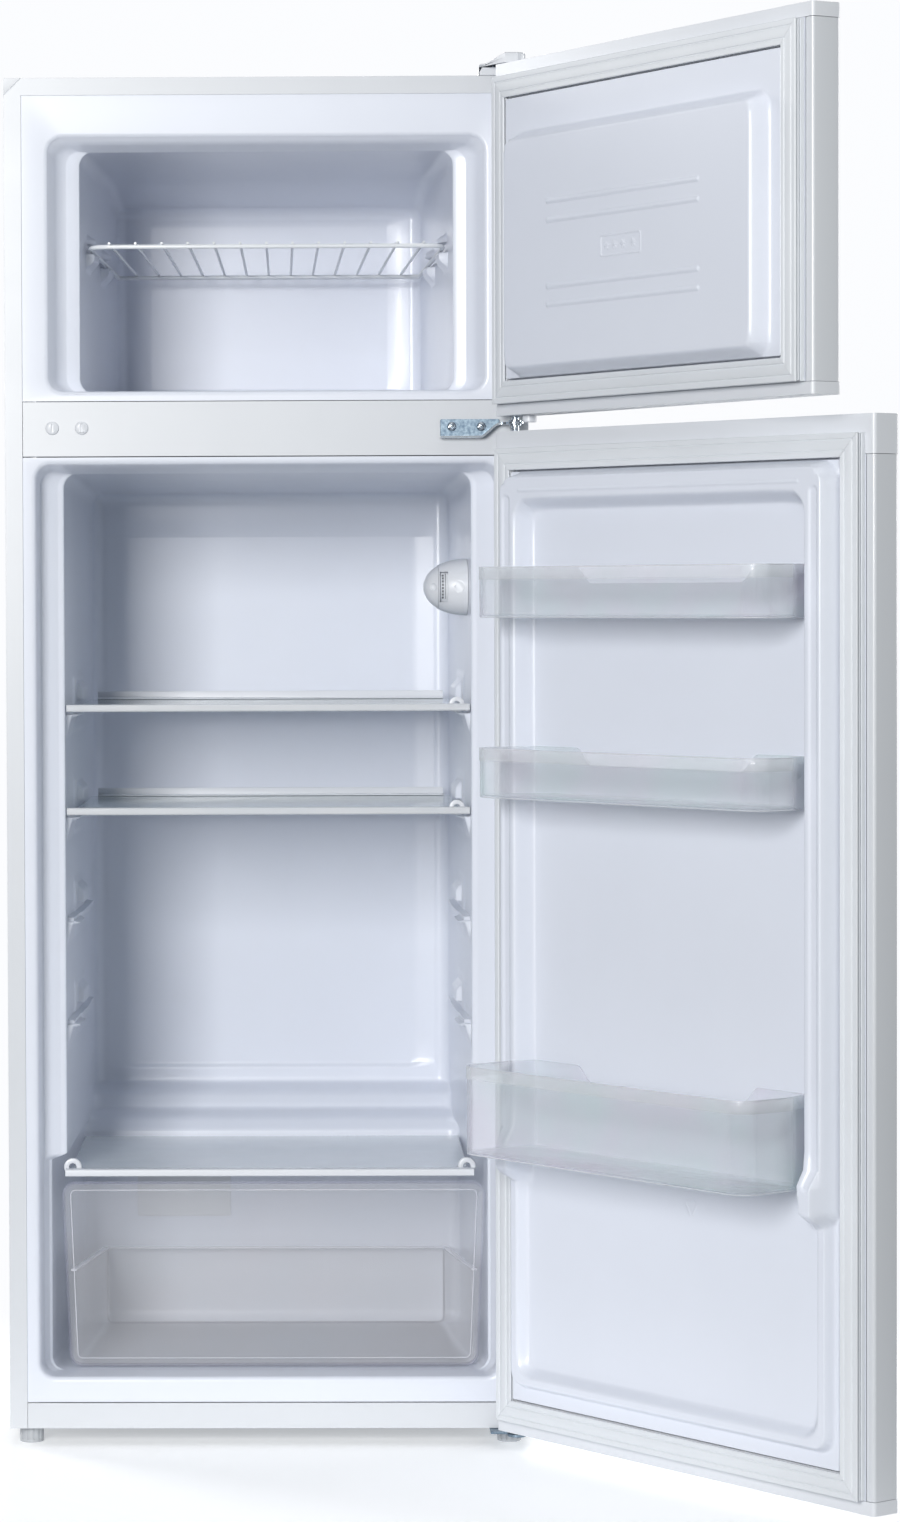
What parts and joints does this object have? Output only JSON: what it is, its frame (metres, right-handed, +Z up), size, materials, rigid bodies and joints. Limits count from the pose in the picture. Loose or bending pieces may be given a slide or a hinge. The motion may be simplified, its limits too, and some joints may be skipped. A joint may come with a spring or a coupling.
{
  "type": "top freezer refrigerator",
  "caption": "Upright fridge with a freezer compartment on top, doors standing open on right-hand hinges, glass shelves, a clear crisper drawer and clear door bins.",
  "frame": {"origin": "on the floor, below the middle of the box round the whole object with its doors as they stand open", "axes": "+Z up; the open front faces -Y; the hinges are on the +X side"},
  "size_m": [0.8608, 0.994, 1.4343],
  "materials": {
    "white_painted_steel": "gloss",
    "white_plastic": "satin",
    "liner_plastic": "satin",
    "grey_plastic": "matte",
    "gasket_rubber": "matte",
    "zinc_plated_steel": "satin",
    "galvanised_steel": "satin",
    "black_painted_steel": "satin",
    "copper": "satin",
    "shelf_glass": "polished",
    "clear_plastic": "gloss",
    "coated_wire": "satin",
    "label_paper": "matte"
  },
  "bodies": {
    "cabinet": {"cabinet_shell": "white_painted_steel", "back_panel": "galvanised_steel", "base_plate": "galvanised_steel", "compressor_bulkhead": "galvanised_steel", "kick_rail": "white_painted_steel", "mullion_rail": "white_painted_steel", "screw_plug_1": "white_plastic", "screw_plug_2": "white_plastic", "freezer_liner": "liner_plastic", "fridge_liner": "liner_plastic", "thermostat_housing": "white_plastic", "crisper_cover_glass": "shelf_glass", "crisper_cover_trim": "white_plastic", "rating_label": "label_paper", "middle_hinge": "zinc_plated_steel", "middle_hinge_screw_1": "zinc_plated_steel", "middle_hinge_screw_2": "zinc_plated_steel", "top_hinge": "zinc_plated_steel", "top_hinge_cover": "white_plastic", "bottom_hinge": "zinc_plated_steel", "foot_front_left": "grey_plastic", "foot_front_right": "grey_plastic", "foot_rear_left": "grey_plastic", "foot_rear_right": "grey_plastic", "compressor": "black_painted_steel", "terminal_box": "grey_plastic", "condenser": "black_painted_steel", "drip_tray": "grey_plastic", "filter_drier": "copper"},
    "freezer_door": {"freezer_door_shell": "white_painted_steel", "freezer_door_top_cap": "white_plastic", "freezer_door_bottom_cap": "white_plastic", "freezer_door_liner": "liner_plastic", "freezer_door_gasket": "gasket_rubber", "door_stop": "white_plastic"},
    "fridge_door": {"fridge_door_shell": "white_painted_steel", "fridge_door_top_cap": "white_plastic", "fridge_door_bottom_cap": "white_plastic", "fridge_door_liner": "liner_plastic", "fridge_door_gasket": "gasket_rubber", "door_bin_1": "clear_plastic", "door_bin_2": "clear_plastic", "door_bin_3": "clear_plastic"},
    "crisper": {"crisper_drawer": "clear_plastic"},
    "freezer_shelf": {"freezer_wire_shelf": "coated_wire"},
    "upper_shelf": {"upper_shelf_glass": "shelf_glass", "upper_shelf_front_trim": "clear_plastic", "upper_shelf_rear_trim": "white_plastic"},
    "lower_shelf": {"lower_shelf_glass": "shelf_glass", "lower_shelf_front_trim": "clear_plastic", "lower_shelf_rear_trim": "white_plastic"},
    "temperature_knob": {"thermostat_knob": "white_plastic"}
  },
  "joints": [
    {"name": "freezer_door_hinge", "type": "hinge", "parent": "cabinet", "child": "freezer_door", "pos_m": [0.09461, -0.03635, 1.24], "axis": [0, 0, 1], "range_deg": [-120, 15]},
    {"name": "fridge_door_hinge", "type": "hinge", "parent": "cabinet", "child": "fridge_door", "pos_m": [0.09461, -0.03635, 0.534], "axis": [0, 0, 1], "range_deg": [-128, 12]},
    {"name": "crisper_slide", "type": "slide", "parent": "cabinet", "child": "crisper", "axis": [0, -1, 0], "range_m": [0, 0.2]},
    {"name": "freezer_shelf_slide", "type": "slide", "parent": "cabinet", "child": "freezer_shelf", "axis": [0, -0.9995, 0.0322], "range_m": [0, 0.16]},
    {"name": "upper_shelf_slide", "type": "slide", "parent": "cabinet", "child": "upper_shelf", "axis": [0, -1, 0], "range_m": [0, 0.15]},
    {"name": "lower_shelf_slide", "type": "slide", "parent": "cabinet", "child": "lower_shelf", "axis": [0, -1, 0], "range_m": [0, 0.15]},
    {"name": "temperature_knob_turn", "type": "hinge", "parent": "cabinet", "child": "temperature_knob", "pos_m": [0.01961, 0.09864, 0.8895], "axis": [1, 0, 0], "range_deg": [-150, 150]}
  ]
}
